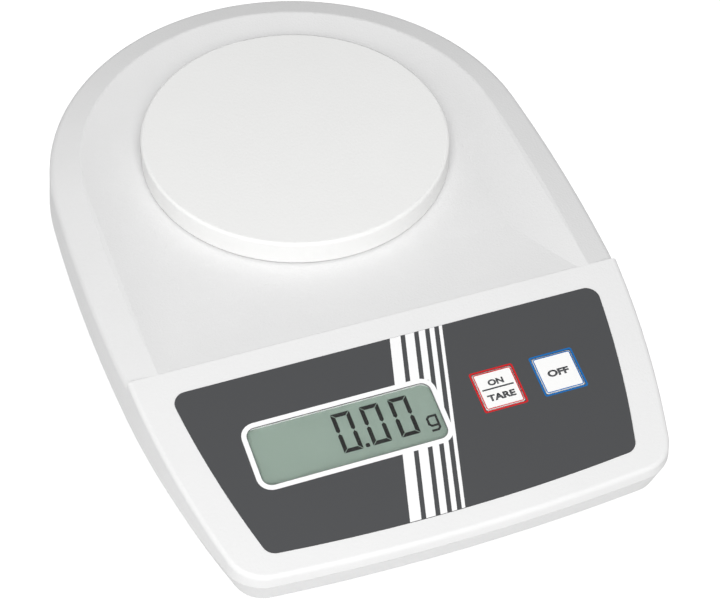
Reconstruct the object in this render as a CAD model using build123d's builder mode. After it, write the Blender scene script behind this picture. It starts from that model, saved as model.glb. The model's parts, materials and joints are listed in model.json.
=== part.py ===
from build123d import *
from math import asin, cos, radians, sin, sqrt, tan
import os

os.makedirs("parts", exist_ok=True)

# Compact bench scale: a round weighing plate at the back, a sloping display panel in front.
# Millimetres, +Z up, the front faces -Y, X = 0 is the plane of symmetry of the housing,
# and the feet stand on z = 0.

# Outline of the housing, taken where its two shells meet
body_length = 244.0
body_width = 171.8
rear_radius = 85.0
widest_ahead = 32.0
front_half_width = 69.2
front_bow = 3.4
front_corner_radius = 13.0

# Heights
base_z = 4.0
parting_z = 15.0
deck_z = 31.7
plate_top_z = 39.0

# Housing walls and outer form
wall = 2.2
floor_thickness = 2.2
side_draft = 5.0
tuck_angle = 17.0
band_width = 10.0
band_drop = 2.7
deck_edge_radius = 0.5
crease_radius = 2.5
base_edge_radius = 2.0
parting_gap = 0.35
parting_gap_depth = 0.7
lip_height = 1.4
lip_root = 5.0
lip_thickness = 1.2
lip_clearance = 0.3
rib_thickness = 1.4
rib_height = 2.6

# Shallow dish in the deck, round the plate and up to the panel
dish_depth = 2.0
dish_flat_radius = 56.0
dish_edge_radius = 72.8
dish_rise_start = -18.0
dish_front_step = 0.7

# Sloping panel
panel_rear_y = -45.0
panel_rear_z = 31.75
panel_tilt = 9.54
panel_wall = 2.5
panel_edge_radius = 1.5

# Weighing plate
plate_radius = 52.5
plate_skin = 2.0
plate_rim = 1.6
plate_edge_radius = 1.1
plate_rim_gap = 0.9
hub_radius = 9.0
hub_hole_gap = 3.0
collar_wall = 2.0
collar_height = 2.2
spigot_radius = 6.0
spigot_height = 3.2
spigot_end_gap = 0.4
spigot_clearance = 0.1
plate_ribs = 8
plate_rib_height = 2.6
plate_ring_radius = 31.0

# Carrier that takes the plate's load to the cell
carrier_length = 76.0
carrier_width = 44.0
carrier_thickness = 2.5
carrier_corner_radius = 6.0
carrier_edge = 2.0
carrier_edge_height = 1.2
carrier_window_radius = 7.0
spacer_thickness = 1.4
weighing_travel = 0.35

# Load cell: an aluminium bar with a binocular cut-out
cell_length = 70.0
cell_width = 15.0
cell_height = 12.0
cell_end_length = 17.0
cell_bore_radius = 4.2
cell_bore_pitch = 17.0
cell_slot_height = 3.0
cell_screw_radius = 2.0
cell_screw_pitch = 8.0
cell_screw_inset = 5.0
cell_screw_depth = 8.0
cell_pad_height = 1.4
mount_plate_thickness = 1.4
mount_plate_width = 24.0
gauge_cover_length = 24.0
gauge_cover_thickness = 0.7
stop_head_radius = 3.0
stop_shank_radius = 1.5
stop_gap = 0.5

# Printed foil, keys and display window, placed from the foil's rear edge
foil_rear_margin = 8.2
foil_margin_rear = 10.4
foil_margin_middle = 11.0
foil_margin_front = 11.5
foil_length = 62.4
foil_front_bow = 2.9
foil_thickness = 0.3
foil_recess = 0.2
foil_corner_radius = 4.2
foil_gap = 0.1
key_size = 12.9
key_gap = 0.3
key_corner_radius = 0.6
key_edge_radius = 0.2
key_row = 26.8
key_columns = {"on_tare": 26.6, "off": 46.95}
key_rise = 0.15
key_cap = 1.0
key_pocket_depth = 1.4
key_travel = 0.35
key_stem_radius = 2.2
key_stem_clearance = 0.3
key_barb_radius = 3.0
key_barb_height = 0.7
window_x = -23.7
window_row = 28.2
window_length = 59.6
window_height = 20.1
window_corner_radius = 3.0
pane_thickness = 1.0
pane_overlap = 2.0
pane_clearance = 0.1
opening_margin = 0.6

# Display and main board, under the panel and parallel to it
glass_length = 66.0
glass_height = 26.0
glass_thickness = 2.4
glass_clearance = 0.15
lcd_frame_wall = 1.8
lcd_ledge = 2.0
strip_width = 2.2
board_depth = 7.4
board_thickness = 1.6
board_length = 134.0
board_height = 44.0
board_row = 28.0
board_corner_radius = 2.0
board_screw_inset = 4.5
board_post_radius = 3.0
board_screw_radius = 1.25
board_screw_depth = 4.0
switch_size = 6.0
switch_height = 3.4
plunger_radius = 1.75
plunger_rise = 0.5
plunger_depth = 0.6
plunger_clearance = 0.1
chip_height = 1.5
controller_size = 12.0
converter_length = 10.0
converter_width = 5.2
connector_height = 6.0
connector_depth = 5.0
connector_inset = 1.0
cell_connector_width = 10.0
power_connector_width = 16.0
cell_connector_x = 14.0
power_connector_x = -38.0

# Battery bay under the left side, with a cover hinged at its front edge
bay_x = -50.0
bay_y = -16.0
bay_wall = 2.4
bay_roof = 1.4
battery_width = 26.5
battery_length = 48.5
battery_height = 17.5
battery_clearance = 0.3
battery_edge_radius = 1.0
terminal_pitch = 12.7
terminal_height = 2.8
terminal_stud_radius = 2.9
terminal_socket_radius = 4.2
clip_thickness = 1.8
clip_gap = 1.0
cover_thickness = 1.6
cover_clearance = 0.3
cover_seat_clearance = 0.1
cover_overlap = 1.3
pin_radius = 0.5
pin_length = 1.2
pin_clearance = 0.05
grip_width = 16.0
grip_length = 7.0
grip_depth = 0.8
grip_ridge = 0.7

# Power socket in the rear wall
jack_width = 9.0
jack_length = 13.0
jack_height = 10.6
jack_z = 21.0
jack_wall_gap = 0.3
jack_bore_radius = 2.9
jack_bore_depth = 10.0
jack_collar_radius = 4.2
jack_collar_inset = 0.4
jack_pin_radius = 1.0
jack_pin_inset = 1.0
jack_hole_clearance = 0.2
jack_post_inset = 2.0

# Fasteners and feet
screw_radius = 1.5
screw_clearance = 0.1
screw_end_gap = 1.0
screw_slot = 0.7
screw_head_radius = 2.8
screw_head_height = 1.6
cell_head_radius = 3.4
boss_radius = 3.6
boss_split_z = 12.0
screw_grip = 8.0
head_seat_z = 7.2
screw_points = [(-72.5, -66.0), (72.5, -66.0), (-58.0, 72.0), (58.0, 72.0), (0.0, -109.0)]
foot_radius = 6.0
foot_seat_depth = 0.8
foot_edge_radius = 0.8
foot_clearance = 0.05
foot_points = {
    "front_left": (-54.0, -94.0),
    "front_right": (54.0, -94.0),
    "rear_left": (-44.0, 92.0),
    "rear_right": (44.0, 92.0),
}

# Leads inside the housing
lead_radius = 1.1
lead_run_z = 14.0
lead_lane_x = -27.0

# Places that follow from the sizes above
half_width = body_width / 2
plate_y = body_length / 2 - rear_radius
widest_y = plate_y - widest_ahead
front_y = -body_length / 2
rear_y = body_length / 2
front_corner_y = front_y + front_bow
tilt = radians(panel_tilt)
draft_slope = tan(radians(side_draft))
dish_z = deck_z - dish_depth
ceiling_z = dish_z - wall
floor_z = base_z + floor_thickness
rim_bottom_z = dish_z + plate_rim_gap
hub_seat_z = plate_top_z - plate_skin - spigot_height - spigot_end_gap
cell_bottom_z = floor_z + cell_pad_height + mount_plate_thickness
cell_top_z = cell_bottom_z + cell_height
carrier_z = cell_top_z + spacer_thickness
carrier_top_z = carrier_z + carrier_thickness
cell_front_y = plate_y - cell_length / 2
cell_rear_y = plate_y + cell_length / 2
fixed_screws = [(0, cell_front_y + cell_screw_inset + step * cell_screw_pitch) for step in (0, 1)]
loaded_screws = [(0, cell_rear_y - cell_screw_inset - step * cell_screw_pitch) for step in (0, 1)]
stop_y = cell_rear_y - cell_end_length / 2
stop_seat_z = floor_z + cell_pad_height
stop_top_z = cell_bottom_z - stop_gap
glass_depth = panel_wall
bay_width = battery_width + 2 * battery_clearance
bay_length = battery_length + terminal_height + clip_thickness + clip_gap + battery_clearance
bay_front_y = bay_y - bay_length / 2
bay_rear_y = bay_y + bay_length / 2
battery_z = base_z + cover_thickness + battery_clearance
bay_roof_z = battery_z + battery_height + battery_clearance
battery_front_y = bay_rear_y - battery_clearance - battery_length
clip_front_y = battery_front_y - terminal_height - clip_thickness
terminals_z = battery_z + battery_height / 2
cover_width = bay_width + 2 * (cover_overlap - cover_clearance)
cover_rear_y = bay_rear_y + cover_overlap - cover_clearance
hinge_y = bay_front_y - cover_overlap + cover_clearance + cover_thickness / 2
hinge_z = base_z + cover_thickness / 2
jack_top_z = jack_z + jack_height / 2
jack_front_y = rear_y - wall - (jack_top_z - parting_z) * draft_slope - jack_wall_gap
jack_rear_y = jack_front_y - jack_length
collar_end_y = rear_y - (jack_z - parting_z) * draft_slope - jack_collar_inset

# Each side of the outline is two arcs: one tangent to the round rear, one on to the front corner
side_radius = (half_width ** 2 - rear_radius ** 2 + widest_ahead ** 2) / (2 * (half_width - rear_radius))
side_centre = (half_width - side_radius, widest_y)
lean = asin(widest_ahead / (side_radius - rear_radius))
rear_tangent = (rear_radius * cos(lean), plate_y + rear_radius * sin(lean))
shoulder = (side_centre[0] + sqrt(side_radius ** 2 - (widest_y - panel_rear_y) ** 2), panel_rear_y)
inward = ((side_centre[0] - shoulder[0]) / side_radius, (side_centre[1] - shoulder[1]) / side_radius)
chord = (front_half_width - shoulder[0], front_corner_y - shoulder[1])
front_side_radius = (chord[0] ** 2 + chord[1] ** 2) / (2 * (chord[0] * inward[0] + chord[1] * inward[1]))
front_side_centre = (shoulder[0] + inward[0] * front_side_radius, shoulder[1] + inward[1] * front_side_radius)

# The panel's plane starts at its rear edge, and its y axis points up the slope
panel = Plane(origin=(0, panel_rear_y, panel_rear_z), x_dir=(1, 0, 0), z_dir=(0, -sin(tilt), cos(tilt)))
key_places = {name: (x, -(foil_rear_margin + key_row)) for name, x in key_columns.items()}
window_place = (window_x, -(foil_rear_margin + window_row))
board_centre = -(foil_rear_margin + board_row)
board_rear = board_centre + board_height / 2
post_places = [
    (side * (board_length / 2 - board_screw_inset), board_centre + end * (board_height / 2 - board_screw_inset))
    for side in (-1, 1)
    for end in (-1, 1)
]


def outline_half_width(y):
    """Half the housing's width at y on the parting plane, before its corners are rounded"""
    if y < panel_rear_y:
        return front_side_centre[0] + sqrt(front_side_radius ** 2 - (y - front_side_centre[1]) ** 2)
    return side_centre[0] + sqrt(side_radius ** 2 - (y - side_centre[1]) ** 2)


def body_outline():
    """Face of the housing's outline at the parting plane"""
    side_y = (rear_tangent[1] + panel_rear_y) / 2
    front_side_y = (panel_rear_y + front_corner_y) / 2
    with BuildSketch(Plane.XY) as outline:
        with BuildLine():
            ThreePointArc(rear_tangent, (0, rear_y), (-rear_tangent[0], rear_tangent[1]))
            for side in (1, -1):
                ThreePointArc(
                    (side * rear_tangent[0], rear_tangent[1]),
                    (side * outline_half_width(side_y), side_y),
                    (side * shoulder[0], shoulder[1]),
                )
                ThreePointArc(
                    (side * shoulder[0], shoulder[1]),
                    (side * outline_half_width(front_side_y), front_side_y),
                    (side * front_half_width, front_corner_y),
                )
            ThreePointArc((front_half_width, front_corner_y), (0, front_y), (-front_half_width, front_corner_y))
        make_face()
        fillet(outline.vertices().group_by(Axis.Y)[0], front_corner_radius)
    return outline.sketch


def inset_outline(inset):
    """Face of the outline moved inwards: the top of a wedge drafted at 45 degrees"""
    with BuildPart() as wedge:
        with BuildSketch(Plane.XY.offset(-inset)):
            add(body_outline())
        extrude(amount=inset, taper=45)
    return wedge.faces().sort_by(Axis.Z)[-1]


def panel_z(y, depth=0.0):
    """Height at y of the plane that lies this deep under the panel's face"""
    return panel_rear_z - (panel_rear_y - y) * tan(tilt) - depth / cos(tilt)


def under_panel(depth):
    """Plane parallel to the panel's face and this deep under it"""
    return panel.offset(-depth)


def panel_half_width(down):
    """Half the width of the panel's face at a distance down the slope"""
    y = panel_rear_y - down * cos(tilt)
    return outline_half_width(y) - (panel_z(y) - parting_z) * draft_slope


def foil_shape(grow=0.0):
    """Face of the printed foil in panel coordinates"""
    rear = foil_rear_margin - grow
    front = foil_rear_margin + foil_length + grow
    middle = (rear + front) / 2
    corner = front - foil_front_bow
    rear_half = panel_half_width(rear) - foil_margin_rear + grow
    middle_half = panel_half_width(middle) - foil_margin_middle + grow
    corner_half = panel_half_width(corner) - foil_margin_front + grow
    with BuildSketch(Plane.XY) as shape:
        with BuildLine():
            Line((-rear_half, -rear), (rear_half, -rear))
            for side in (1, -1):
                ThreePointArc((side * rear_half, -rear), (side * middle_half, -middle), (side * corner_half, -corner))
            ThreePointArc((corner_half, -corner), (0, -front), (-corner_half, -corner))
        make_face()
        fillet(shape.vertices(), foil_corner_radius + grow)
    return shape.sketch


# Outer form behind the panel: level deck, sloping band and drafted skirt
with BuildPart() as rear_form:
    with BuildSketch(Plane.XY.offset(parting_z)):
        add(body_outline())
    extrude(amount=deck_z - parting_z, taper=side_draft)
    deck = rear_form.faces().sort_by(Axis.Z)[-1]
    chamfer(deck.edges(), band_width, band_drop, reference=deck)
    crease = rear_form.edges().filter_by(lambda edge: abs(edge.center().Z - deck_z + band_drop) < 0.3)
    fillet(crease, crease_radius)
    fillet(rear_form.faces().sort_by(Axis.Z)[-1].edges(), deck_edge_radius)
    split(bisect_by=Plane.XZ.offset(-panel_rear_y), keep=Keep.BOTTOM)

# Outer form under the sloping panel
with BuildPart() as front_form:
    with BuildSketch(Plane.XY.offset(parting_z)):
        add(body_outline())
    extrude(amount=panel_rear_z + 1 - parting_z, taper=side_draft)
    split(bisect_by=Plane.XZ.offset(-panel_rear_y), keep=Keep.TOP)
    split(bisect_by=panel, keep=Keep.BOTTOM)
    panel_face = front_form.faces().filter_by(lambda face: face.normal_at().Z > 0.9).sort_by(Axis.Z)[-1]
    fillet(panel_face.edges().sort_by(Axis.Y)[:-1], panel_edge_radius)

# Space above the dish: a round bowl, carried forward beside the plate, with a rising front
with BuildPart() as dish:
    with BuildSketch(Plane.XZ.offset(-plate_y)) as dish_section:
        with BuildLine():
            Line((0, dish_z), (dish_flat_radius, dish_z))
            TangentArc((dish_flat_radius, dish_z), (dish_edge_radius, deck_z), tangent=(1, 0))
            Line((dish_edge_radius, deck_z), (dish_edge_radius, plate_top_z))
            Line((dish_edge_radius, plate_top_z), (0, plate_top_z))
            Line((0, plate_top_z), (0, dish_z))
        make_face()
    revolve(axis=Axis((0, plate_y, 0), (0, 0, 1)), revolution_arc=360)
    with BuildSketch(Plane.XZ.offset(-plate_y)):
        with BuildLine():
            Line((-dish_flat_radius, dish_z), (dish_flat_radius, dish_z))
            for side in (-1, 1):
                TangentArc((side * dish_flat_radius, dish_z), (side * dish_edge_radius, deck_z), tangent=(side, 0))
                Line((side * dish_edge_radius, deck_z), (side * dish_edge_radius, plate_top_z))
            Line((-dish_edge_radius, plate_top_z), (dish_edge_radius, plate_top_z))
        make_face()
    extrude(amount=plate_y - panel_rear_y)
    with BuildSketch(Plane.YZ):
        with BuildLine():
            Line((rear_y, dish_z), (dish_rise_start, dish_z))
            TangentArc((dish_rise_start, dish_z), (panel_rear_y, deck_z - dish_front_step), tangent=(-1, 0))
            Line((panel_rear_y, deck_z - dish_front_step), (panel_rear_y, plate_top_z))
            Line((panel_rear_y, plate_top_z), (rear_y, plate_top_z))
            Line((rear_y, plate_top_z), (rear_y, dish_z))
        make_face()
    extrude(amount=half_width, both=True, mode=Mode.INTERSECT)

# Space inside the upper shell
with BuildPart() as cavity:
    # The outline, drafted from lower down, lies one wall inside the skirt
    start_z = parting_z - wall / draft_slope
    with BuildSketch(Plane.XY.offset(start_z)):
        add(body_outline())
    extrude(amount=deck_z - start_z, taper=side_draft)
    step_y = panel_rear_y - wall
    with BuildSketch(Plane.YZ):
        with BuildLine():
            Polyline(
                (front_y, parting_z),
                (rear_y, parting_z),
                (rear_y, ceiling_z),
                (step_y, ceiling_z),
                (step_y, panel_z(step_y, panel_wall)),
                (front_y, panel_z(front_y, panel_wall)),
                close=True,
            )
        make_face()
    extrude(amount=half_width, both=True, mode=Mode.INTERSECT)

with BuildPart() as top_housing:
    add(rear_form.part)
    add(dish.part, mode=Mode.SUBTRACT)
    add(front_form.part)
    add(cavity.part, mode=Mode.SUBTRACT)
    # Collar round the hole that the plate's hub passes through
    with BuildSketch(Plane.XY.offset(ceiling_z)):
        with Locations((0, plate_y)):
            Circle(hub_radius + hub_hole_gap + collar_wall)
    extrude(amount=dish_z + collar_height - ceiling_z)
    with BuildSketch(Plane.XY.offset(ceiling_z)):
        with Locations((0, plate_y)):
            Circle(hub_radius + hub_hole_gap)
    extrude(amount=dish_z + collar_height - ceiling_z, mode=Mode.SUBTRACT)
    # Ribs under the deck
    with BuildSketch(Plane.XY.offset(ceiling_z)):
        for rib_y in (panel_rear_y + 11, panel_rear_y + 31):
            with Locations((0, rib_y)):
                Rectangle(2 * (outline_half_width(rib_y) - 2 * wall), rib_thickness)
        for side in (-1, 1):
            with Locations((side * (carrier_width / 2 + 12), plate_y)):
                Rectangle(rib_thickness, 1.2 * rear_radius)
    extrude(amount=-rib_height / 2)
    # Seat of the printed foil
    with BuildSketch(panel):
        add(foil_shape(foil_gap))
    extrude(amount=-foil_recess, mode=Mode.SUBTRACT)
    # Stepped opening for the display window
    with BuildSketch(panel):
        with Locations(window_place):
            RectangleRounded(
                window_length + 2 * (pane_overlap + pane_clearance),
                window_height + 2 * (pane_overlap + pane_clearance),
                window_corner_radius,
            )
    extrude(amount=-(foil_recess + pane_thickness), mode=Mode.SUBTRACT)
    with BuildSketch(panel):
        with Locations(window_place):
            RectangleRounded(
                window_length + 2 * opening_margin,
                window_height + 2 * opening_margin,
                window_corner_radius,
            )
    extrude(amount=-2 * panel_wall, mode=Mode.SUBTRACT)
    # Key pockets and the holes for their stems
    with BuildSketch(panel):
        with Locations(*key_places.values()):
            RectangleRounded(key_size + 2 * key_gap, key_size + 2 * key_gap, key_corner_radius + key_gap)
    extrude(amount=-key_pocket_depth, mode=Mode.SUBTRACT)
    with BuildSketch(panel):
        with Locations(*key_places.values()):
            Circle(key_stem_radius + key_stem_clearance)
    extrude(amount=-2 * panel_wall, mode=Mode.SUBTRACT)
    # Posts that the board is screwed to
    with BuildSketch(under_panel(board_depth)):
        with Locations(*post_places):
            Circle(board_post_radius)
    extrude(amount=board_depth - panel_wall / 2)
    with BuildSketch(under_panel(board_depth)):
        with Locations(*post_places):
            Circle(board_screw_radius + screw_clearance)
    extrude(amount=board_screw_depth + screw_clearance, mode=Mode.SUBTRACT)
    # Bosses for the housing screws
    for x, y in screw_points:
        boss_top_z = ceiling_z + wall / 2
        if y < panel_rear_y:
            boss_top_z = panel_z(y, panel_wall / 2)
        with BuildSketch(Plane.XY.offset(boss_split_z)):
            with Locations((x, y)):
                Circle(boss_radius)
        extrude(amount=boss_top_z - boss_split_z)
        with BuildSketch(Plane.XY.offset(boss_split_z)):
            with Locations((x, y)):
                Circle(screw_radius + screw_clearance)
        extrude(amount=screw_grip, mode=Mode.SUBTRACT)
    # Hole for the power socket's collar
    with BuildSketch(Plane.XZ.offset(-rear_y)):
        with Locations((0, jack_z)):
            Circle(jack_collar_radius + jack_hole_clearance)
    extrude(amount=4 * wall, mode=Mode.SUBTRACT)
top_housing.part.label = "top_housing"
export_step(top_housing.part, "parts/top_housing.step")


def tucked_form(inset, bottom_z):
    """Form that draws inwards on its way down and lies this far inside the outline at the parting plane"""
    start_z = parting_z + inset / tan(radians(tuck_angle))
    with BuildPart() as form:
        with BuildSketch(Plane.XY.offset(start_z)):
            add(body_outline())
        extrude(amount=start_z - bottom_z, taper=tuck_angle)
        mirror(about=Plane.XY.offset(start_z), mode=Mode.REPLACE)
    return form.part


with BuildPart() as base_housing:
    add(tucked_form(0, base_z))
    fillet(base_housing.faces().sort_by(Axis.Z)[0].edges(), base_edge_radius)
    add(tucked_form(wall, floor_z), mode=Mode.SUBTRACT)
    # Thin groove that shows between the shells
    with BuildSketch(Plane.XY.offset(parting_z - parting_gap)):
        add(body_outline())
        add(inset_outline(parting_gap_depth), mode=Mode.SUBTRACT)
    extrude(amount=parting_gap, mode=Mode.SUBTRACT)
    # Lip that stands inside the upper shell
    with BuildSketch(Plane.XY.offset(parting_z - lip_root)):
        add(inset_outline(wall + lip_clearance))
        add(inset_outline(wall + lip_clearance + lip_thickness), mode=Mode.SUBTRACT)
    extrude(amount=lip_root + lip_height)
    with BuildSketch(Plane.XY.offset(parting_z)):
        with Locations((0, rear_y)):
            Rectangle(1.4 * jack_width, 4 * wall)
    extrude(amount=lip_height, mode=Mode.SUBTRACT)
    # Floor ribs
    with BuildSketch(Plane.XY.offset(floor_z)):
        for side in (-1, 1):
            with Locations((side * (carrier_width / 2 - 2), (panel_rear_y + front_y) / 2)):
                Rectangle(rib_thickness, 0.7 * (panel_rear_y - front_y))
            with Locations((side * (mount_plate_width / 2 + 6), plate_y)):
                Rectangle(rib_thickness, cell_length)
        with Locations((0, panel_rear_y - 8)):
            Rectangle(1.6 * half_width, rib_thickness)
    extrude(amount=rib_height)
    # Battery bay: walls and roof, open downwards
    with BuildSketch(Plane.XY.offset(floor_z)):
        with Locations((bay_x, bay_y)):
            Rectangle(bay_width + 2 * bay_wall, bay_length + 2 * bay_wall)
    extrude(amount=bay_roof_z + bay_roof - floor_z)
    with BuildSketch(Plane.XY.offset(base_z)):
        with Locations((bay_x, bay_y)):
            Rectangle(bay_width, bay_length)
    extrude(amount=bay_roof_z - base_z, mode=Mode.SUBTRACT)
    with BuildSketch(Plane.XY.offset(base_z)):
        with Locations((bay_x, bay_y)):
            Rectangle(bay_width + 2 * cover_overlap, bay_length + 2 * cover_overlap)
    extrude(amount=cover_thickness + cover_seat_clearance, mode=Mode.SUBTRACT)
    with BuildSketch(Plane.YZ.offset(bay_x)):
        with Locations((hinge_y, hinge_z)):
            Circle(pin_radius + pin_clearance)
    extrude(amount=bay_width / 2 + cover_overlap + pin_length, both=True, mode=Mode.SUBTRACT)
    # Slot that lets the battery lead out of the bay
    with BuildSketch(Plane.XZ.offset(-bay_front_y)):
        with Locations((bay_x, terminals_z)):
            SlotOverall(6 * lead_radius, 3 * lead_radius)
    extrude(amount=2 * bay_wall, mode=Mode.SUBTRACT)
    # Pad for the load cell, with its screw holes, and the boss of the overload stop
    with BuildSketch(Plane.XY.offset(floor_z)):
        with Locations((0, cell_front_y + cell_end_length / 2)):
            Rectangle(mount_plate_width + 4, cell_end_length + 4)
        with Locations((0, stop_y)):
            Circle(stop_head_radius + 1)
    extrude(amount=cell_pad_height)
    with BuildSketch(Plane.XY.offset(base_z)):
        with Locations(*fixed_screws):
            Circle(cell_screw_radius + screw_clearance)
    extrude(amount=cell_height, mode=Mode.SUBTRACT)
    with BuildSketch(Plane.XY.offset(base_z)):
        with Locations(*fixed_screws):
            Circle(cell_head_radius + 2 * screw_clearance)
    extrude(amount=screw_head_height + screw_clearance, mode=Mode.SUBTRACT)
    with BuildSketch(Plane.XY.offset(base_z + floor_thickness / 2)):
        with Locations((0, stop_y)):
            Circle(stop_shank_radius + screw_clearance)
    extrude(amount=cell_height, mode=Mode.SUBTRACT)
    # Bosses and counterbores for the housing screws
    with BuildSketch(Plane.XY.offset(floor_z)):
        with Locations(*screw_points):
            Circle(boss_radius + 2 * screw_clearance)
    extrude(amount=boss_split_z - floor_z)
    with BuildSketch(Plane.XY.offset(base_z)):
        with Locations(*screw_points):
            Circle(screw_radius + screw_clearance)
    extrude(amount=boss_split_z, mode=Mode.SUBTRACT)
    with BuildSketch(Plane.XY.offset(base_z)):
        with Locations(*screw_points):
            Circle(screw_head_radius + 2 * screw_clearance)
    extrude(amount=head_seat_z - base_z, mode=Mode.SUBTRACT)
    # Seats of the feet
    with BuildSketch(Plane.XY.offset(base_z)):
        with Locations(*foot_points.values()):
            Circle(foot_radius + foot_clearance)
    extrude(amount=foot_seat_depth, mode=Mode.SUBTRACT)
    # Post under the power socket
    with BuildSketch(Plane.XY.offset(floor_z)):
        with Locations((0, (jack_front_y + jack_rear_y) / 2)):
            Rectangle(jack_width, jack_length - 2 * jack_post_inset)
    extrude(amount=jack_z - jack_height / 2 - floor_z)
base_housing.part.label = "base_housing"
export_step(base_housing.part, "parts/base_housing.step")

with BuildPart() as weighing_plate:
    with BuildSketch(Plane.XY.offset(rim_bottom_z)):
        with Locations((0, plate_y)):
            Circle(plate_radius)
    extrude(amount=plate_top_z - rim_bottom_z)
    fillet(weighing_plate.edges().sort_by(Axis.Z)[-1], plate_edge_radius)
    with BuildSketch(Plane.XY.offset(rim_bottom_z)):
        with Locations((0, plate_y)):
            Circle(plate_radius - plate_rim)
    extrude(amount=plate_top_z - plate_skin - rim_bottom_z, mode=Mode.SUBTRACT)
    # Ribs, ring and hub under the skin
    with BuildSketch(Plane.XY.offset(plate_top_z - plate_skin)):
        with Locations((0, plate_y)):
            Circle(plate_ring_radius + rib_thickness)
            Circle(plate_ring_radius, mode=Mode.SUBTRACT)
            with PolarLocations((plate_radius - plate_rim / 2 + hub_radius - rib_thickness) / 2, plate_ribs):
                Rectangle(plate_radius - plate_rim / 2 - hub_radius + rib_thickness, rib_thickness)
    extrude(amount=-plate_rib_height)
    with BuildSketch(Plane.XY.offset(hub_seat_z)):
        with Locations((0, plate_y)):
            Circle(hub_radius)
    extrude(amount=plate_top_z - plate_skin - hub_seat_z)
    with BuildSketch(Plane.XY.offset(hub_seat_z)):
        with Locations((0, plate_y)):
            Circle(spigot_radius + spigot_clearance)
    extrude(amount=plate_top_z - plate_skin - hub_seat_z, mode=Mode.SUBTRACT)
weighing_plate.part.label = "weighing_plate"
export_step(weighing_plate.part, "parts/weighing_plate.step")

with BuildPart() as plate_carrier:
    with BuildSketch(Plane.XY.offset(carrier_z)):
        with Locations((0, plate_y)):
            RectangleRounded(carrier_width, carrier_length, carrier_corner_radius)
    extrude(amount=carrier_thickness + carrier_edge_height)
    with BuildSketch(Plane.XY.offset(carrier_top_z)):
        with Locations((0, plate_y)):
            RectangleRounded(
                carrier_width - 2 * carrier_edge,
                carrier_length - 2 * carrier_edge,
                carrier_corner_radius - carrier_edge,
            )
    extrude(amount=carrier_edge_height, mode=Mode.SUBTRACT)
    with BuildSketch(Plane.XY.offset(carrier_top_z)):
        with Locations((0, plate_y)):
            Circle(hub_radius)
    extrude(amount=hub_seat_z - carrier_top_z)
    with BuildSketch(Plane.XY.offset(hub_seat_z)):
        with Locations((0, plate_y)):
            Circle(spigot_radius)
    extrude(amount=spigot_height)
    chamfer(plate_carrier.edges().sort_by(Axis.Z)[-1], spigot_height / 5)
    # Lightening holes beside the hub and the holes of the two screws
    with BuildSketch(Plane.XY.offset(carrier_z)):
        with Locations((0, plate_y)):
            with GridLocations(carrier_width / 2 + 2, carrier_length / 2, 2, 2):
                Circle(carrier_window_radius)
        with Locations(*loaded_screws):
            Circle(cell_screw_radius + screw_clearance)
    extrude(amount=carrier_thickness, mode=Mode.SUBTRACT)
plate_carrier.part.label = "plate_carrier"
export_step(plate_carrier.part, "parts/plate_carrier.step")

with BuildPart() as carrier_spacer:
    with BuildSketch(Plane.XY.offset(cell_top_z)):
        with Locations((0, cell_rear_y - cell_end_length / 2)):
            Rectangle(cell_width, cell_end_length)
        with Locations(*loaded_screws):
            Circle(cell_screw_radius + screw_clearance, mode=Mode.SUBTRACT)
    extrude(amount=spacer_thickness)
carrier_spacer.part.label = "carrier_spacer"
export_step(carrier_spacer.part, "parts/carrier_spacer.step")

with BuildPart() as carrier_screws:
    with BuildSketch(Plane.XY.offset(cell_top_z - cell_screw_depth)):
        with Locations(*loaded_screws):
            Circle(cell_screw_radius)
    extrude(amount=carrier_top_z - cell_top_z + cell_screw_depth)
    with BuildSketch(Plane.XY.offset(carrier_top_z)):
        with Locations(*loaded_screws):
            Circle(cell_head_radius)
    extrude(amount=screw_head_height)
    with BuildSketch(Plane.XY.offset(carrier_top_z + screw_head_height)):
        with Locations(*loaded_screws):
            RegularPolygon(cell_head_radius / 2, 6)
    extrude(amount=-screw_head_height / 2, mode=Mode.SUBTRACT)
carrier_screws.part.label = "carrier_screws"
export_step(carrier_screws.part, "parts/carrier_screws.step")

with BuildPart() as load_cell:
    with BuildSketch(Plane.XY.offset(cell_bottom_z)):
        with Locations((0, plate_y)):
            Rectangle(cell_width, cell_length)
    extrude(amount=cell_height)
    # Binocular cut-out: two bores joined by a slot
    with BuildSketch(Plane.YZ):
        with Locations((plate_y, cell_bottom_z + cell_height / 2)):
            with GridLocations(cell_bore_pitch, 0, 2, 1):
                Circle(cell_bore_radius)
            Rectangle(cell_bore_pitch, cell_slot_height)
    extrude(amount=cell_width, both=True, mode=Mode.SUBTRACT)
    with BuildSketch(Plane.XY.offset(cell_bottom_z)):
        with Locations(*fixed_screws):
            Circle(cell_screw_radius + screw_clearance)
    extrude(amount=cell_screw_depth + screw_clearance, mode=Mode.SUBTRACT)
    with BuildSketch(Plane.XY.offset(cell_top_z)):
        with Locations(*loaded_screws):
            Circle(cell_screw_radius + screw_clearance)
    extrude(amount=-(cell_screw_depth + screw_clearance), mode=Mode.SUBTRACT)
load_cell.part.label = "load_cell"
export_step(load_cell.part, "parts/load_cell.step")

with BuildPart() as cell_mount_plate:
    with BuildSketch(Plane.XY.offset(floor_z + cell_pad_height)):
        with Locations((0, cell_front_y + cell_end_length / 2)):
            Rectangle(mount_plate_width, cell_end_length)
        with Locations(*fixed_screws):
            Circle(cell_screw_radius + screw_clearance, mode=Mode.SUBTRACT)
    extrude(amount=mount_plate_thickness)
cell_mount_plate.part.label = "cell_mount_plate"
export_step(cell_mount_plate.part, "parts/cell_mount_plate.step")

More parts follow.
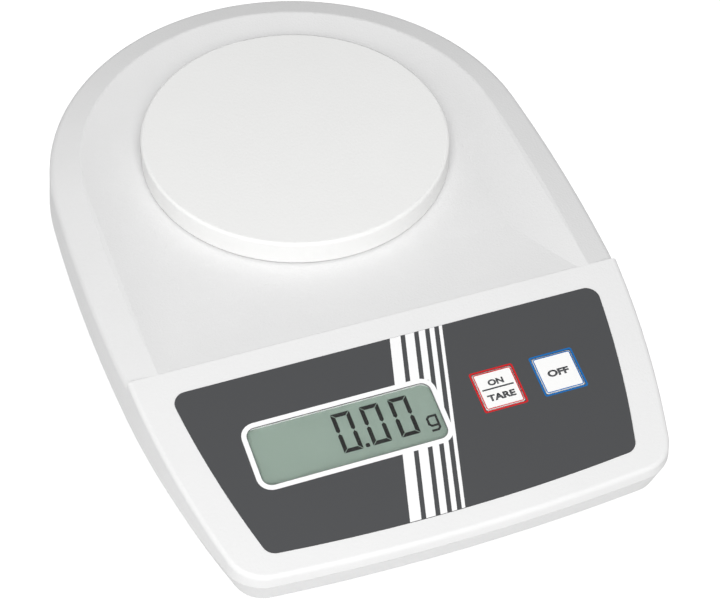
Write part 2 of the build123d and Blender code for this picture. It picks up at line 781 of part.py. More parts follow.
with BuildPart() as cell_screws:
    head_z = base_z + screw_clearance
    with BuildSketch(Plane.XY.offset(head_z)):
        with Locations(*fixed_screws):
            Circle(cell_head_radius)
    extrude(amount=screw_head_height)
    with BuildSketch(Plane.XY.offset(head_z)):
        with Locations(*fixed_screws):
            RegularPolygon(cell_head_radius / 2, 6)
    extrude(amount=screw_head_height / 2, mode=Mode.SUBTRACT)
    with BuildSketch(Plane.XY.offset(head_z + screw_head_height)):
        with Locations(*fixed_screws):
            Circle(cell_screw_radius)
    extrude(amount=cell_bottom_z + cell_screw_depth - head_z - screw_head_height)
cell_screws.part.label = "cell_screws"
export_step(cell_screws.part, "parts/cell_screws.step")

with BuildPart() as gauge_covers:
    for face_z, way in ((cell_top_z, 1), (cell_bottom_z, -1)):
        with BuildSketch(Plane.XY.offset(face_z)):
            with Locations((0, plate_y)):
                RectangleRounded(cell_width - 1, gauge_cover_length, 2)
        extrude(amount=way * gauge_cover_thickness)
gauge_covers.part.label = "gauge_covers"
export_step(gauge_covers.part, "parts/gauge_covers.step")

with BuildPart() as overload_stop:
    with BuildSketch(Plane.XY.offset(stop_seat_z)):
        with Locations((0, stop_y)):
            Circle(stop_head_radius)
    extrude(amount=stop_top_z - stop_seat_z)
    with BuildSketch(Plane.XY.offset(stop_seat_z)):
        with Locations((0, stop_y)):
            Circle(stop_shank_radius)
    extrude(amount=-(cell_pad_height + floor_thickness / 2 - screw_clearance))
overload_stop.part.label = "overload_stop"
export_step(overload_stop.part, "parts/overload_stop.step")

with BuildPart() as panel_overlay:
    with BuildSketch(under_panel(foil_recess)):
        add(foil_shape())
        with Locations(window_place):
            RectangleRounded(window_length, window_height, window_corner_radius, mode=Mode.SUBTRACT)
        with Locations(*key_places.values()):
            RectangleRounded(
                key_size + 2 * key_gap,
                key_size + 2 * key_gap,
                key_corner_radius + key_gap,
                mode=Mode.SUBTRACT,
            )
    extrude(amount=foil_thickness)
panel_overlay.part.label = "panel_overlay"
export_step(panel_overlay.part, "parts/panel_overlay.step")

with BuildPart() as display_window:
    with BuildSketch(under_panel(foil_recess + pane_thickness)):
        with Locations(window_place):
            RectangleRounded(
                window_length + 2 * pane_overlap,
                window_height + 2 * pane_overlap,
                window_corner_radius,
            )
    extrude(amount=pane_thickness)
display_window.part.label = "display_window"
export_step(display_window.part, "parts/display_window.step")

with BuildPart() as lcd_glass:
    with BuildSketch(under_panel(glass_depth + glass_thickness)):
        with Locations(window_place):
            Rectangle(glass_length, glass_height)
    extrude(amount=glass_thickness)
lcd_glass.part.label = "lcd_glass"
export_step(lcd_glass.part, "parts/lcd_glass.step")

with BuildPart() as lcd_frame:
    with BuildSketch(under_panel(board_depth)):
        with Locations(window_place):
            Rectangle(glass_length + 2 * lcd_frame_wall, glass_height + 2 * lcd_frame_wall)
    extrude(amount=board_depth - glass_depth)
    with BuildSketch(under_panel(glass_depth + glass_thickness)):
        with Locations(window_place):
            Rectangle(glass_length + 2 * glass_clearance, glass_height + 2 * glass_clearance)
    extrude(amount=glass_thickness, mode=Mode.SUBTRACT)
    with BuildSketch(under_panel(board_depth)):
        with Locations(window_place):
            Rectangle(glass_length - 2 * lcd_ledge, glass_height + 2 * glass_clearance)
    extrude(amount=board_depth - glass_depth - glass_thickness, mode=Mode.SUBTRACT)
lcd_frame.part.label = "lcd_frame"
export_step(lcd_frame.part, "parts/lcd_frame.step")

with BuildPart() as contact_strips:
    with BuildSketch(under_panel(board_depth)):
        with Locations(window_place):
            with GridLocations(0, glass_height - strip_width, 1, 2):
                Rectangle(glass_length - 2 * lcd_ledge - 1, strip_width)
    extrude(amount=board_depth - glass_depth - glass_thickness)
contact_strips.part.label = "contact_strips"
export_step(contact_strips.part, "parts/contact_strips.step")

board_bottom = board_depth + board_thickness

with BuildPart() as main_board:
    with BuildSketch(under_panel(board_bottom)):
        with Locations((0, board_centre)):
            RectangleRounded(board_length, board_height, board_corner_radius)
        with Locations(*post_places):
            Circle(board_screw_radius + screw_clearance, mode=Mode.SUBTRACT)
    extrude(amount=board_thickness)
main_board.part.label = "main_board"
export_step(main_board.part, "parts/main_board.step")

with BuildPart() as board_screws:
    with BuildSketch(under_panel(board_bottom + screw_head_height)):
        with Locations(*post_places):
            Circle(2 * board_screw_radius)
    extrude(amount=screw_head_height)
    with BuildSketch(under_panel(board_bottom + screw_head_height)):
        with Locations(*post_places):
            Rectangle(2 * board_screw_radius, screw_slot)
            Rectangle(screw_slot, 2 * board_screw_radius)
    extrude(amount=screw_head_height / 2, mode=Mode.SUBTRACT)
    with BuildSketch(under_panel(board_bottom)):
        with Locations(*post_places):
            Circle(board_screw_radius)
    extrude(amount=board_thickness + board_screw_depth)
board_screws.part.label = "board_screws"
export_step(board_screws.part, "parts/board_screws.step")

with BuildPart() as controller_chip:
    with BuildSketch(under_panel(board_bottom + chip_height)):
        with Locations((window_x, board_centre)):
            Rectangle(controller_size, controller_size)
    extrude(amount=chip_height)
controller_chip.part.label = "controller_chip"
export_step(controller_chip.part, "parts/controller_chip.step")

with BuildPart() as converter_chip:
    with BuildSketch(under_panel(board_bottom + chip_height)):
        with Locations((cell_connector_x + converter_length, board_centre)):
            Rectangle(converter_length, converter_width)
    extrude(amount=chip_height)
converter_chip.part.label = "converter_chip"
export_step(converter_chip.part, "parts/converter_chip.step")

connectors = {
    "cell_connector": (cell_connector_x, cell_connector_width),
    "power_connector": (power_connector_x, power_connector_width),
}
for name, (centre_x, width) in connectors.items():
    with BuildPart() as connector:
        with BuildSketch(under_panel(board_bottom + connector_height)):
            with Locations((centre_x, board_rear - connector_inset - connector_depth / 2)):
                Rectangle(width, connector_depth)
        extrude(amount=connector_height)
    connector.part.label = name
    export_step(connector.part, "parts/" + name + ".step")

# Keys: a square cap on a round stem, with a barb that keeps it in the panel
barb_depth = board_depth - switch_height - plunger_rise
for name, place in key_places.items():
    with BuildPart() as key:
        with BuildSketch(under_panel(key_cap - key_rise)):
            with Locations(place):
                RectangleRounded(key_size, key_size, key_corner_radius)
        extrude(amount=key_cap)
        fillet(key.faces().sort_by(Axis.Z)[-1].edges(), key_edge_radius)
        with BuildSketch(under_panel(barb_depth)):
            with Locations(place):
                Circle(key_stem_radius)
        extrude(amount=barb_depth - key_cap + key_rise)
        with BuildSketch(under_panel(barb_depth)):
            with Locations(place):
                Circle(key_barb_radius)
        extrude(amount=key_barb_height)
    key.part.label = "key_" + name
    export_step(key.part, "parts/key_" + name + ".step")

    with BuildPart() as switch:
        with BuildSketch(under_panel(board_depth)):
            with Locations(place):
                Rectangle(switch_size, switch_size)
        extrude(amount=switch_height)
        with BuildSketch(under_panel(board_depth - switch_height)):
            with Locations(place):
                Circle(plunger_radius + plunger_clearance)
        extrude(amount=-(plunger_depth + 2 * key_travel), mode=Mode.SUBTRACT)
    switch.part.label = "switch_" + name
    export_step(switch.part, "parts/switch_" + name + ".step")

    with BuildPart() as plunger:
        with BuildSketch(under_panel(board_depth - switch_height + plunger_depth)):
            with Locations(place):
                Circle(plunger_radius)
        extrude(amount=plunger_depth + plunger_rise)
    plunger.part.label = "plunger_" + name
    export_step(plunger.part, "parts/plunger_" + name + ".step")

with BuildPart() as battery:
    with BuildSketch(Plane.XZ.offset(-battery_front_y)):
        with Locations((bay_x, terminals_z)):
            RectangleRounded(battery_width, battery_height, battery_edge_radius)
    extrude(amount=-battery_length)
    with BuildSketch(Plane.XZ.offset(-battery_front_y)):
        with Locations((bay_x - terminal_pitch / 2, terminals_z)):
            Circle(terminal_stud_radius)
        with Locations((bay_x + terminal_pitch / 2, terminals_z)):
            RegularPolygon(terminal_socket_radius, 6)
    extrude(amount=terminal_height)
battery.part.label = "battery"
export_step(battery.part, "parts/battery.step")

with BuildPart() as battery_clip:
    with BuildSketch(Plane.XZ.offset(-(battery_front_y - terminal_height))):
        with Locations((bay_x, terminals_z)):
            SlotOverall(terminal_pitch + 3 * terminal_socket_radius, 3 * terminal_socket_radius)
    extrude(amount=clip_thickness)
battery_clip.part.label = "battery_clip"
export_step(battery_clip.part, "parts/battery_clip.step")

with BuildPart() as battery_cover:
    with BuildSketch(Plane.YZ.offset(bay_x)):
        with Locations(((hinge_y + cover_rear_y) / 2, hinge_z)):
            Rectangle(cover_rear_y - hinge_y, cover_thickness)
        with Locations((hinge_y, hinge_z)):
            Circle(cover_thickness / 2)
    extrude(amount=cover_width / 2, both=True)
    with BuildSketch(Plane.YZ.offset(bay_x)):
        with Locations((hinge_y, hinge_z)):
            Circle(pin_radius)
    extrude(amount=bay_width / 2 + cover_overlap + pin_length - cover_clearance, both=True)
    # Finger grip: a shallow hollow with three ridges
    with BuildSketch(Plane.XY.offset(base_z)):
        with Locations((bay_x, cover_rear_y - grip_length)):
            RectangleRounded(grip_width, grip_length, grip_length / 4)
            with GridLocations(0, grip_length / 4, 1, 3):
                Rectangle(0.8 * grip_width, grip_ridge, mode=Mode.SUBTRACT)
    extrude(amount=grip_depth, mode=Mode.SUBTRACT)
battery_cover.part.label = "battery_cover"
export_step(battery_cover.part, "parts/battery_cover.step")

with BuildPart() as dc_jack:
    with BuildSketch(Plane.XZ.offset(-jack_front_y)):
        with Locations((0, jack_z)):
            Rectangle(jack_width, jack_height)
    extrude(amount=jack_length)
    with BuildSketch(Plane.XZ.offset(-collar_end_y)):
        with Locations((0, jack_z)):
            Circle(jack_collar_radius)
    extrude(amount=collar_end_y - jack_front_y)
    with BuildSketch(Plane.XZ.offset(-collar_end_y)):
        with Locations((0, jack_z)):
            Circle(jack_bore_radius)
    extrude(amount=jack_bore_depth, mode=Mode.SUBTRACT)
    with BuildSketch(Plane.XZ.offset(-(collar_end_y - jack_pin_inset))):
        with Locations((0, jack_z)):
            Circle(jack_pin_radius)
    extrude(amount=jack_bore_depth)
dc_jack.part.label = "dc_jack"
export_step(dc_jack.part, "parts/dc_jack.step")

for name, place in foot_points.items():
    with BuildPart() as foot:
        with BuildSketch(Plane.XY):
            with Locations(place):
                Circle(foot_radius)
        extrude(amount=base_z + foot_seat_depth)
        fillet(foot.edges().sort_by(Axis.Z)[0], foot_edge_radius)
    foot.part.label = "foot_" + name
    export_step(foot.part, "parts/foot_" + name + ".step")

with BuildPart() as housing_screws:
    with BuildSketch(Plane.XY.offset(head_seat_z - screw_head_height)):
        with Locations(*screw_points):
            Circle(screw_head_radius)
    extrude(amount=screw_head_height)
    with BuildSketch(Plane.XY.offset(head_seat_z - screw_head_height)):
        with Locations(*screw_points):
            Rectangle(screw_head_radius, screw_slot)
            Rectangle(screw_slot, screw_head_radius)
    extrude(amount=screw_head_height / 2, mode=Mode.SUBTRACT)
    with BuildSketch(Plane.XY.offset(head_seat_z)):
        with Locations(*screw_points):
            Circle(screw_radius)
    extrude(amount=boss_split_z + screw_grip - screw_end_gap - head_seat_z)
housing_screws.part.label = "housing_screws"
export_step(housing_screws.part, "parts/housing_screws.step")

# Leads meet the rear face of a connector square, along the slope of the board
lead_depth = board_bottom + connector_height / 2


def lead_end(x, back=0.0):
    """Point on a connector's rear face, or this far behind it"""
    return tuple(panel.from_local_coords((x, board_rear - connector_inset + back, -lead_depth)))


def make_lead(points, radii):
    """Round lead along straight runs joined by tangent arcs"""
    with BuildPart() as lead:
        with BuildLine() as path:
            FilletPolyline(*points, radius=radii)
        with BuildSketch(Plane(origin=path.line @ 0, z_dir=path.line % 0)):
            Circle(lead_radius)
        sweep()
    return lead.part


cell_lead_points = [
    (0, cell_front_y, lead_run_z),
    (0, cell_front_y - 16, lead_run_z),
    (cell_connector_x, cell_front_y - 40, lead_run_z + 1),
    lead_end(cell_connector_x, 8),
    lead_end(cell_connector_x),
]
battery_lead_points = [
    (bay_x, clip_front_y, terminals_z),
    (bay_x, bay_front_y - bay_wall - 2, terminals_z),
    lead_end(power_connector_x - 4, 5),
    lead_end(power_connector_x - 4),
]
jack_lead_points = [
    (0, jack_rear_y, jack_z - 2),
    (0, jack_rear_y - 14, jack_z - 2),
    (lead_lane_x, jack_rear_y - 40, lead_run_z - 2),
    (lead_lane_x, panel_rear_y + 24, lead_run_z - 1),
    lead_end(power_connector_x + 4, 8),
    lead_end(power_connector_x + 4),
]

with BuildPart() as cell_lead:
    add(make_lead(cell_lead_points, [12, 8, 5]))
cell_lead.part.label = "cell_lead"
export_step(cell_lead.part, "parts/cell_lead.step")

with BuildPart() as battery_lead:
    add(make_lead(battery_lead_points, [4, 4]))
battery_lead.part.label = "battery_lead"
export_step(battery_lead.part, "parts/battery_lead.step")

with BuildPart() as jack_lead:
    add(make_lead(jack_lead_points, [16, 30, 10, 5]))
jack_lead.part.label = "jack_lead"
export_step(jack_lead.part, "parts/jack_lead.step")
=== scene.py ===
"""Compact scale: its prints, its finishes and the photo stage, laid out as an add-on."""
import json
import math

import bmesh
import bpy
from bpy.props import FloatProperty, FloatVectorProperty, PointerProperty
from bpy.types import Operator, Panel, PropertyGroup
from mathutils import Matrix, Vector


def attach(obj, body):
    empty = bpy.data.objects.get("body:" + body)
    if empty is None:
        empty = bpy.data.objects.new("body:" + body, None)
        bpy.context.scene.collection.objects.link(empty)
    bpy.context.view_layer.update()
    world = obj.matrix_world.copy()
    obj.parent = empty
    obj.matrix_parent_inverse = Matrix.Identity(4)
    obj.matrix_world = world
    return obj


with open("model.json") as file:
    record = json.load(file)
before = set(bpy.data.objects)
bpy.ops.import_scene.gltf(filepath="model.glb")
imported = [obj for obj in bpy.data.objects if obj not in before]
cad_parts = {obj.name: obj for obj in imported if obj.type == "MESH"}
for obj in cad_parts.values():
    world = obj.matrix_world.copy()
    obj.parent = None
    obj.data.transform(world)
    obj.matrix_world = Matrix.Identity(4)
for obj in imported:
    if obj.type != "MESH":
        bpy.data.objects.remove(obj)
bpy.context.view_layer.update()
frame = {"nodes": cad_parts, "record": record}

bl_info = {
    "name": "Compact Scale",
    "version": (1, 0, 0),
    "blender": (4, 5, 0),
    "location": "View3D > Sidebar > Scale",
    "description": "Prints, finishes and stage of a compact scale",
    "category": "Object",
}

MM = 0.001
INK_SINK = 0.01 * MM
WELD = 0.001 * MM
TEXT_WELD = 0.1 * MM
CURVE_STEPS = 6
LETTER_WEIGHT = 0.046


def length(name, description, millimetres):
    """Named size in metres for a property group"""
    return FloatProperty(
        name=name,
        description=description,
        default=millimetres * MM,
        unit="LENGTH",
        subtype="DISTANCE",
    )


def angle(name, description, radians):
    """Named angle for a property group"""
    return FloatProperty(name=name, description=description, default=radians, subtype="ANGLE")


def place(name, description, point):
    """Named point in metres for a property group"""
    return FloatVectorProperty(
        name=name,
        description=description,
        default=point,
        unit="LENGTH",
        subtype="TRANSLATION",
    )


# Sizes
class PanelSizes(PropertyGroup):
    rear_y: length("Rear edge", "Place of the panel's rear edge along Y", -45.0)
    rear_z: length("Rear height", "Height of the panel's rear edge", 31.75)
    tilt: FloatProperty(
        name="Tilt",
        description="Slope of the panel towards the front",
        default=math.radians(9.54),
        subtype="ANGLE",
    )
    foil_rear: length("Foil rear", "Distance down the slope from the panel's rear edge to the foil", 8.2)
    foil_length: length("Foil length", "Length of the foil down the slope", 62.4)
    foil_bow: length("Foil bow", "How far the foil's front edge is bowed", 2.9)
    foil_half_front: length("Foil half width", "Half of the foil's width at its front", 57.0)
    foil_top: length("Foil top", "Height of the foil's face above the panel", 0.1)
    ink: length("Ink", "Thickness of one printed layer", 0.03)


class StripeSizes(PropertyGroup):
    lean: FloatProperty(
        name="Lean",
        description="Sideways run of the stripes for each unit down the slope",
        default=0.264,
    )
    rear_margin: length("Rear margin", "Distance from the foil's rear edge to the stripes", 0.05)
    front_margin: length("Front margin", "Distance from the stripes to the foil's front edge", 0.05)
    overlap: length("Overlap", "How far the stripes run under the display's border", 1.2)


class DisplaySizes(PropertyGroup):
    window_x: length("Window X", "Middle of the window across the panel", -23.7)
    window_row: length("Window row", "Middle of the window down the foil", 28.2)
    window_length: length("Window length", "Length of the window", 59.6)
    window_height: length("Window height", "Height of the window", 20.1)
    window_radius: length("Window radius", "Corner radius of the window", 3.0)
    border: length("Border", "Width of the white border", 1.6)
    border_gap: length("Border gap", "Foil left bare between window and border", 0.12)
    glass_depth: length("Glass depth", "Depth of the display glass under the panel", 2.5)
    digit_width: length("Digit width", "Width of one digit", 6.2)
    digit_height: length("Digit height", "Height of one digit", 13.9)
    digit_pitch: length("Digit pitch", "Distance from one digit to the next", 9.35)
    digit_first: length("First digit", "Left edge of the first digit", -26.4)
    digit_row: length("Digit row", "Upper edge of the digits down the foil", 19.55)
    segment: length("Segment", "Width of one segment", 1.35)
    segment_gap: length("Segment gap", "Gap where two segments meet", 0.14)
    dot_x: length("Dot X", "Middle of the decimal point", -18.65)
    dot_size: length("Dot size", "Side of the decimal point", 1.35)
    unit_x: length("Unit X", "Middle of the unit sign", 3.4)
    unit_row: length("Unit row", "Middle of the unit sign down the foil", 31.4)
    unit_width: length("Unit width", "Width of the unit sign", 3.7)
    unit_height: length("Unit height", "Height of the unit sign", 5.8)
    unit_bowl: length("Unit bowl", "Height of the closed upper part of the unit sign", 4.1)
    unit_stroke: length("Unit stroke", "Width of the unit sign's strokes", 0.75)
    unit_corner: length("Unit corner", "Cut-off corners of the unit sign", 0.9)


class KeySizes(PropertyGroup):
    row: length("Key row", "Middle of the keys down the foil", 26.8)
    on_x: length("First key", "Middle of the first key", 26.6)
    off_x: length("Second key", "Middle of the second key", 46.95)
    cap_top: length("Cap top", "Height of the caps above the panel", 0.15)
    hole: length("Hole", "Side of the square hole in the foil", 13.5)
    border: length("Border", "Width of the coloured border round a key", 0.6)
    rim_side: length("Rim side", "Outer side of the coloured rim on a cap", 12.7)
    rim: length("Rim", "Width of the coloured rim on a cap", 0.32)
    corner: length("Corner", "Corner radius of the border", 0.75)
    upper_width: length("Upper word width", "Width of the upper word", 5.2)
    upper_height: length("Upper word height", "Height of the upper word", 2.15)
    upper_rise: length("Upper word rise", "Middle of the upper word above the key's middle", 2.5)
    lower_width: length("Lower word width", "Width of the lower word", 9.2)
    lower_height: length("Lower word height", "Height of the lower word", 2.3)
    lower_drop: length("Lower word drop", "Middle of the lower word below the key's middle", 2.75)
    bar_length: length("Bar length", "Length of the bar between the words", 10.6)
    bar_height: length("Bar height", "Height of the bar", 0.52)
    bar_rise: length("Bar rise", "Middle of the bar above the key's middle", 0.4)
    off_width: length("Single word width", "Width of the word on the second key", 7.2)
    off_height: length("Single word height", "Height of the word on the second key", 2.45)


class StageSizes(PropertyGroup):
    camera_place: place("Camera", "Place of the camera", (-0.159376, -0.419693, 0.487194))
    yaw: angle("Yaw", "Turn of the camera to the right", 0.386135)
    pitch: angle("Pitch", "Tilt of the camera downwards", 0.832564)
    roll: angle("Roll", "Roll of the camera", 0.043531)
    lens: FloatProperty(name="Lens", description="Focal length in millimetres", default=96.62)
    sensor: FloatProperty(name="Sensor", description="Width of the sensor in millimetres", default=36.0)
    floor_side: length("Floor", "Side of the floor", 8000.0)
    floor_drop: length("Floor drop", "How far the floor lies under the feet", 0.1)
    floor_glow: FloatProperty(name="Floor glow", description="Light added for the camera", default=0.55)
    target: place("Target", "Point that the lights aim at", (0.0, 0.0, 0.02))
    key_place: place("Key light place", "Place of the large light at the front", (-0.25, -0.74, 1.02))
    key_side: length("Key light side", "Side of the large light", 800.0)
    key_power: FloatProperty(name="Key light", description="Power of the large light, in watts", default=13.9)
    fill_place: place("Fill light place", "Place of the light at the left", (-1.0, 0.15, 0.35))
    fill_side: length("Fill light side", "Side of the light at the left", 700.0)
    fill_power: FloatProperty(name="Fill light", description="Power of the left light, in watts", default=0.7)
    ambient: FloatProperty(name="Ambient", description="Strength of the light from all round", default=0.32)


SIZE_GROUPS = {
    "panel": PanelSizes,
    "stripes": StripeSizes,
    "display": DisplaySizes,
    "keys": KeySizes,
    "stage": StageSizes,
}


def sizes(group):
    """One of the scale's property groups"""
    return getattr(bpy.context.scene, "scale_" + group)


# Colours and finishes
def tint(red, green, blue):
    """Linear colour from screen values of 0 to 255"""
    linear = []
    for value in (red, green, blue):
        screen = value / 255
        linear.append(screen / 12.92 if screen <= 0.04045 else ((screen + 0.055) / 1.055) ** 2.4)
    return (*linear, 1.0)


# Slot: kind, colour, roughness, metallic, grain size mm, grain depth mm, colour spread
FINISHES = {
    "shell_plastic": ("moulded", tint(237, 237, 237), 0.46, 0.0, 0.80, 0.200, 0.04),
    "plate_plastic": ("moulded", tint(247, 247, 246), 0.42, 0.0, 0.80, 0.200, 0.03),
    "carrier_plastic": ("moulded", tint(150, 152, 156), 0.50, 0.0, 0.60, 0.020, 0.05),
    "cell_aluminium": ("brushed", tint(200, 202, 205), 0.34, 1.0, 0.30, 0.006, 0.10),
    "steel_parts": ("brushed", tint(188, 190, 194), 0.30, 1.0, 0.25, 0.005, 0.12),
    "fasteners": ("brushed", tint(180, 182, 186), 0.28, 1.0, 0.20, 0.004, 0.14),
    "gauge_sealant": ("moulded", tint(225, 220, 205), 0.62, 0.0, 0.80, 0.060, 0.06),
    "foil": ("moulded", tint(73, 74, 76), 0.44, 0.0, 0.22, 0.008, 0.03),
    "display_glass": ("moulded", tint(137, 154, 143), 0.20, 0.0, 0.35, 0.001, 0.02),
    "contact_rubber": ("striped", tint(225, 205, 180), 0.60, 0.0, 0.30, 0.010, 0.75),
    "circuit_board": ("board", tint(20, 96, 52), 0.36, 0.0, 1.60, 0.012, 0.45),
    "electronics": ("moulded", tint(52, 52, 55), 0.48, 0.0, 0.25, 0.010, 0.10),
    "connector_plastic": ("moulded", tint(222, 214, 196), 0.44, 0.0, 0.35, 0.010, 0.05),
    "key_caps": ("moulded", tint(249, 249, 248), 0.40, 0.0, 0.30, 0.006, 0.01),
    "plungers": ("moulded", tint(60, 60, 62), 0.46, 0.0, 0.30, 0.010, 0.08),
    "battery_case": ("brushed", tint(70, 72, 78), 0.38, 0.6, 0.40, 0.004, 0.10),
    "cover_plastic": ("moulded", tint(233, 233, 233), 0.48, 0.0, 0.80, 0.200, 0.04),
    "feet_rubber": ("moulded", tint(48, 48, 50), 0.72, 0.0, 0.45, 0.040, 0.14),
    "lead_jacket": ("moulded", tint(42, 42, 45), 0.50, 0.0, 0.70, 0.015, 0.10),
}
INKS = {
    "white_ink": ("moulded", tint(250, 250, 250), 0.42, 0.0, 0.22, 0.004, 0.01),
    "red_ink": ("moulded", tint(205, 20, 28), 0.42, 0.0, 0.22, 0.004, 0.04),
    "blue_ink": ("moulded", tint(0, 104, 178), 0.42, 0.0, 0.22, 0.004, 0.04),
    "grey_ink": ("moulded", tint(68, 70, 73), 0.42, 0.0, 0.22, 0.004, 0.04),
    "segments": ("moulded", tint(12, 14, 12), 0.30, 0.0, 0.30, 0.001, 0.10),
}
EFFECT_STRETCH = {"moulded": (1.0, 1.0, 1.0), "brushed": (1.0, 14.0, 14.0)}
GRAIN_DETAIL = 3.0
MOTTLE_SCALE = 60.0
MOTTLE_DETAIL = 4.0
CONTACT_STRIPE_SCALE = 600.0
BOARD_TRACK_SCALE = 260.0
BOARD_TRACK_WIDTH = 0.08
BUMP_STRENGTH = 0.5
ROUGHNESS_SPREAD = 0.10


def link(tree, source, output, target, socket):
    """Joins two nodes by the names of their sockets"""
    tree.links.new(source.outputs[output], target.inputs[socket])


def effect_group(kind):
    """Node group of one surface effect, made once: colour, roughness and height vary over the surface"""
    name = kind.capitalize() + " surface"
    if name in bpy.data.node_groups:
        return bpy.data.node_groups[name]
    tree = bpy.data.node_groups.new(name, "ShaderNodeTree")
    for label, kind_of in (("Colour", "NodeSocketColor"), ("Spread", "NodeSocketFloat"),
                           ("Roughness", "NodeSocketFloat"), ("Grain scale", "NodeSocketFloat")):
        tree.interface.new_socket(name=label, in_out="INPUT", socket_type=kind_of)
    for label, kind_of in (("Colour", "NodeSocketColor"), ("Roughness", "NodeSocketFloat"),
                           ("Height", "NodeSocketFloat")):
        tree.interface.new_socket(name=label, in_out="OUTPUT", socket_type=kind_of)
    inputs = tree.nodes.new("NodeGroupInput")
    outputs = tree.nodes.new("NodeGroupOutput")
    place = tree.nodes.new("ShaderNodeTexCoord")
    stretch = tree.nodes.new("ShaderNodeMapping")
    stretch.inputs["Scale"].default_value = EFFECT_STRETCH.get(kind, (1.0, 1.0, 1.0))
    link(tree, place, "Object", stretch, "Vector")

    grain = tree.nodes.new("ShaderNodeTexNoise")
    grain.inputs["Detail"].default_value = GRAIN_DETAIL
    link(tree, stretch, "Vector", grain, "Vector")
    link(tree, inputs, "Grain scale", grain, "Scale")
    if kind == "striped":
        pattern = tree.nodes.new("ShaderNodeTexWave")
        pattern.bands_direction = "X"
        pattern.inputs["Distortion"].default_value = 0.0
        pattern.inputs["Scale"].default_value = CONTACT_STRIPE_SCALE
    elif kind == "board":
        pattern = tree.nodes.new("ShaderNodeTexBrick")
        pattern.inputs["Scale"].default_value = BOARD_TRACK_SCALE
        pattern.inputs["Mortar Size"].default_value = BOARD_TRACK_WIDTH
    else:
        pattern = tree.nodes.new("ShaderNodeTexNoise")
        pattern.inputs["Scale"].default_value = MOTTLE_SCALE
        pattern.inputs["Detail"].default_value = MOTTLE_DETAIL
    link(tree, stretch, "Vector", pattern, "Vector")

    # Colour is darkened by the pattern, by at most the spread
    darkness = tree.nodes.new("ShaderNodeMath")
    darkness.operation = "MULTIPLY"
    link(tree, pattern, "Fac", darkness, 0)
    link(tree, inputs, "Spread", darkness, 1)
    shade = tree.nodes.new("ShaderNodeMix")
    shade.data_type = "RGBA"
    colour_in = [socket for socket in shade.inputs if socket.name == "A" and socket.type == "RGBA"][0]
    dark_in = [socket for socket in shade.inputs if socket.name == "B" and socket.type == "RGBA"][0]
    colour_out = [socket for socket in shade.outputs if socket.type == "RGBA"][0]
    dark_in.default_value = (0.0, 0.0, 0.0, 1.0)
    tree.links.new(inputs.outputs["Colour"], colour_in)
    tree.links.new(darkness.outputs[0], shade.inputs[0])
    tree.links.new(colour_out, outputs.inputs["Colour"])

    # Roughness swings round its own value with the grain
    swing = tree.nodes.new("ShaderNodeMath")
    swing.operation = "MULTIPLY_ADD"
    swing.inputs[1].default_value = ROUGHNESS_SPREAD
    link(tree, grain, "Fac", swing, 0)
    link(tree, inputs, "Roughness", swing, 2)
    tree.links.new(swing.outputs[0], outputs.inputs["Roughness"])
    link(tree, grain, "Fac", outputs, "Height")
    return tree


def finish_material(name, kind, colour, roughness, metallic, grain, depth, spread):
    """Principled material fed by one of the effect groups"""
    material = bpy.data.materials.new(name)
    material.use_nodes = True
    tree = material.node_tree
    shader = tree.nodes["Principled BSDF"]
    shader.inputs["Metallic"].default_value = metallic
    effect = tree.nodes.new("ShaderNodeGroup")
    effect.node_tree = effect_group(kind)
    effect.inputs["Colour"].default_value = colour
    effect.inputs["Spread"].default_value = spread
    effect.inputs["Roughness"].default_value = roughness - ROUGHNESS_SPREAD / 2
    effect.inputs["Grain scale"].default_value = 1 / (grain * MM)
    bump = tree.nodes.new("ShaderNodeBump")
    bump.inputs["Strength"].default_value = BUMP_STRENGTH
    bump.inputs["Distance"].default_value = depth * MM
    link(tree, effect, "Colour", shader, "Base Color")
    link(tree, effect, "Roughness", shader, "Roughness")
    link(tree, effect, "Height", bump, "Height")
    link(tree, bump, "Normal", shader, "Normal")
    return material


def pane_material():
    """Clear pane that lets light through to the display"""
    material = bpy.data.materials.new("window_pane")
    material.use_nodes = True
    tree = material.node_tree
    shader = tree.nodes["Principled BSDF"]
    shader.inputs["Transmission Weight"].default_value = 1.0
    shader.inputs["Roughness"].default_value = 0.03
    shader.inputs["IOR"].default_value = 1.45
    clear = tree.nodes.new("ShaderNodeBsdfTransparent")
    rays = tree.nodes.new("ShaderNodeLightPath")
    mix = tree.nodes.new("ShaderNodeMixShader")
    tree.links.new(rays.outputs["Is Shadow Ray"], mix.inputs[0])
    tree.links.new(shader.outputs[0], mix.inputs[1])
    tree.links.new(clear.outputs[0], mix.inputs[2])
    tree.links.new(mix.outputs[0], tree.nodes["Material Output"].inputs["Surface"])
    return material


def ink(name):
    """Material of a printed colour, made once"""
    if name in bpy.data.materials:
        return bpy.data.materials[name]
    return finish_material(name, *INKS[name])


# Shapes on the panel
def panel_place(height):
    """Matrix from the panel (X across, Y up the slope from the foil's rear edge) to the scale's frame"""
    panel = sizes("panel")
    rear_edge = Matrix.Translation((0, panel.rear_y, panel.rear_z))
    turn = Matrix.Rotation(panel.tilt, 4, "X")
    foil_edge = Matrix.Translation((0, -panel.foil_rear, height))
    return rear_edge @ turn @ foil_edge


def add_piece(name, mesh, material, body):
    """Puts a finished mesh in the scene, riding a body"""
    mesh.materials.clear()
    mesh.materials.append(material)
    obj = bpy.data.objects.new(name, mesh)
    bpy.context.collection.objects.link(obj)
    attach(obj, body)
    return obj


def thicken(bm, thickness):
    """Turns flat faces into thin solid ones"""
    grown = bmesh.ops.extrude_face_region(bm, geom=bm.faces[:])
    top = [item for item in grown["geom"] if isinstance(item, bmesh.types.BMVert)]
    bmesh.ops.translate(bm, vec=(0, 0, thickness), verts=top)
    bmesh.ops.recalc_face_normals(bm, faces=bm.faces[:])


